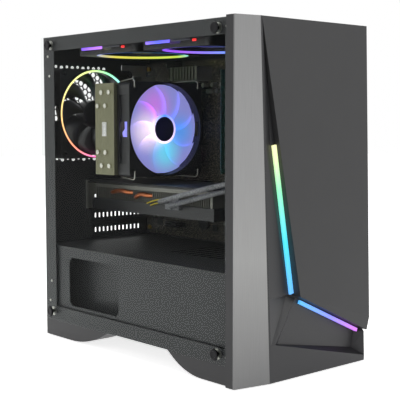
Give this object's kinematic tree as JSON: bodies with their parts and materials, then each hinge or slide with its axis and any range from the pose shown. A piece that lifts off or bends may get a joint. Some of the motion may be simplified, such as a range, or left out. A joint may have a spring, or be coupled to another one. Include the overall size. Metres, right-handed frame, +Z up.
{
  "type": "desktop computer tower",
  "caption": "Small desktop tower with a glass side, slanted lit front, ring-lit fans, tower cooler, graphics card and covered power supply.",
  "frame": {"origin": "middle of the overall box at desk level", "axes": "+Z up, the lit front faces -Y, the back panel faces +Y, the glass side faces -X"},
  "size_m": [0.212, 0.394, 0.4],
  "materials": {
    "black_steel": "fine-textured black powder coat",
    "black_screws": "black oxide",
    "zinc": "zinc plated",
    "clear_glass": "clear tempered glass",
    "bezel_plastic": "satin black moulding",
    "plate_plastic": "fine-textured dark grey",
    "brushed_trim": "vertical brushed satin",
    "diffuser": "frosted light guide",
    "button_plastic": "satin black",
    "nickel": "nickel-plated shells on a small board",
    "rubber_black": "matt rubber",
    "filter_mesh": "woven nylon mesh in a thin rim",
    "fan_black": "black glass-filled plastic",
    "blade_black": "dark satin blades",
    "blade_frosted": "frosted translucent blades",
    "board_black": "black solder mask",
    "brass_post": "turned brass",
    "board_sinks": "grey anodised",
    "component_black": "moulded components",
    "ram_green": "green solder mask with black chips",
    "shield_steel": "plain steel",
    "fin_aluminium": "plain mill finish",
    "nickel_pipe": "nickel-plated copper",
    "copper_pipe": "bare copper",
    "spring_wire": "spring steel wire",
    "inlet_black": "black moulded socket",
    "grey_sleeve": "braided grey sleeve with black plugs"
  },
  "bodies": {
    "chassis": {"bottom_pan": "black_steel", "top_panel": "black_steel", "rear_panel": "black_steel", "front_frame": "black_steel", "motherboard_tray": "black_steel", "psu_shroud": "black_steel", "fan_screws": "black_screws", "glass_posts": "zinc", "fan_light_rings": "diffuser", "feet": "bezel_plastic", "foot_pads": "rubber_black", "rear_fan_frame": "fan_black", "top_fan_frames": "fan_black", "cpu_fan_frame": "fan_black", "gpu_shroud": "fan_black", "motherboard": "board_black", "gpu_board": "board_black", "standoffs": "brass_post", "board_heatsinks": "board_sinks", "board_components": "component_black", "dimm_slots": "component_black", "pcie_slots": "component_black", "ram_module": "ram_green", "rear_ports": "nickel", "io_shield": "shield_steel", "cooler_fins": "fin_aluminium", "gpu_heatsink": "fin_aluminium", "cooler_base": "fin_aluminium", "cooler_pipes": "nickel_pipe", "gpu_heat_pipes": "copper_pipe", "fan_clips": "spring_wire", "gpu_bracket": "shield_steel", "slot_covers": "black_steel", "gpu_backplate": "black_steel", "psu_case": "black_steel", "power_inlet": "inlet_black", "gpu_power_cables": "grey_sleeve", "cable_grommet": "rubber_black"},
    "rear_fan": {"rear_fan_rotor": "blade_black"},
    "cpu_fan": {"cpu_fan_rotor": "blade_frosted"},
    "top_rear_fan": {"top_rear_rotor": "blade_black"},
    "top_front_fan": {"top_front_rotor": "blade_black"},
    "gpu_rear_fan": {"gpu_rear_rotor": "blade_black"},
    "gpu_front_fan": {"gpu_front_rotor": "blade_black"},
    "psu_fan": {"psu_fan_rotor": "blade_black"},
    "psu_switch": {"psu_switch": "button_plastic"},
    "front": {"front_bezel": "bezel_plastic", "silver_trim": "brushed_trim", "front_plate": "plate_plastic", "upper_light_bar": "diffuser", "lower_light_bar": "diffuser", "front_ports": "nickel"},
    "power_button": {"power_button": "button_plastic"},
    "reset_button": {"reset_button": "button_plastic"},
    "glass_door": {"glass_panel": "clear_glass"},
    "glass_screws": {"glass_thumbscrews": "black_screws"},
    "side_door": {"side_panel": "black_steel"},
    "side_screws": {"side_panel_thumbscrews": "black_screws"},
    "roof_filter": {"top_filter": "filter_mesh"},
    "floor_filter": {"psu_filter": "filter_mesh"}
  },
  "joints": [
    {"name": "rear_fan_spin", "type": "hinge", "parent": "chassis", "child": "rear_fan", "pos_m": [-0.03, 0.177, 0.2983], "axis": [0, 1, 0], "continuous": true},
    {"name": "cpu_fan_spin", "type": "hinge", "parent": "chassis", "child": "cpu_fan", "pos_m": [-0.0111, 0.053, 0.2783], "axis": [0, 1, 0], "continuous": true},
    {"name": "top_rear_fan_spin", "type": "hinge", "parent": "chassis", "child": "top_rear_fan", "pos_m": [-0.023, 0.074, 0.385], "axis": [0, 0, 1], "continuous": true},
    {"name": "top_front_fan_spin", "type": "hinge", "parent": "chassis", "child": "top_front_fan", "pos_m": [-0.023, -0.058, 0.385], "axis": [0, 0, 1], "continuous": true},
    {"name": "gpu_rear_fan_spin", "type": "hinge", "parent": "chassis", "child": "gpu_rear_fan", "pos_m": [0.0129, 0.12, 0.176], "axis": [0, 0, 1], "continuous": true},
    {"name": "gpu_front_fan_spin", "type": "hinge", "parent": "chassis", "child": "gpu_front_fan", "pos_m": [0.0129, 0.004, 0.176], "axis": [0, 0, 1], "continuous": true},
    {"name": "psu_fan_spin", "type": "hinge", "parent": "chassis", "child": "psu_fan", "pos_m": [0.003, 0.12, 0.042], "axis": [0, 0, 1], "continuous": true},
    {"name": "psu_switch_rock", "type": "hinge", "parent": "chassis", "child": "psu_switch", "pos_m": [0.052, 0.185, 0.054], "axis": [1, 0, 0], "range_deg": [0, 25]},
    {"name": "front_bezel_pull", "type": "slide", "parent": "chassis", "child": "front", "axis": [0, -1, 0], "range_m": [0, 0.06]},
    {"name": "power_button_press", "type": "slide", "parent": "front", "child": "power_button", "axis": [0, 0, -1], "range_m": [0, 0.0015], "stiffness_N_per_m": 800, "springref_m": -0.0006},
    {"name": "reset_button_press", "type": "slide", "parent": "front", "child": "reset_button", "axis": [0, 0, -1], "range_m": [0, 0.0015], "stiffness_N_per_m": 600, "springref_m": -0.0006},
    {"name": "glass_panel_off", "type": "slide", "parent": "chassis", "child": "glass_door", "axis": [-1, 0, 0], "range_m": [0, 0.1]},
    {"name": "glass_thumbscrews_out", "type": "slide", "parent": "glass_door", "child": "glass_screws", "axis": [-1, 0, 0], "range_m": [0, 0.011]},
    {"name": "side_panel_slide", "type": "slide", "parent": "chassis", "child": "side_door", "axis": [0, 1, 0], "range_m": [0, 0.02]},
    {"name": "side_thumbscrews_out", "type": "slide", "parent": "side_door", "child": "side_screws", "axis": [0, 1, 0], "range_m": [0, 0.008]},
    {"name": "top_filter_lift", "type": "slide", "parent": "chassis", "child": "roof_filter", "axis": [0, 0, 1], "range_m": [0, 0.05]},
    {"name": "psu_filter_slide", "type": "slide", "parent": "chassis", "child": "floor_filter", "axis": [0, 1, 0], "range_m": [0, 0.136]}
  ]
}
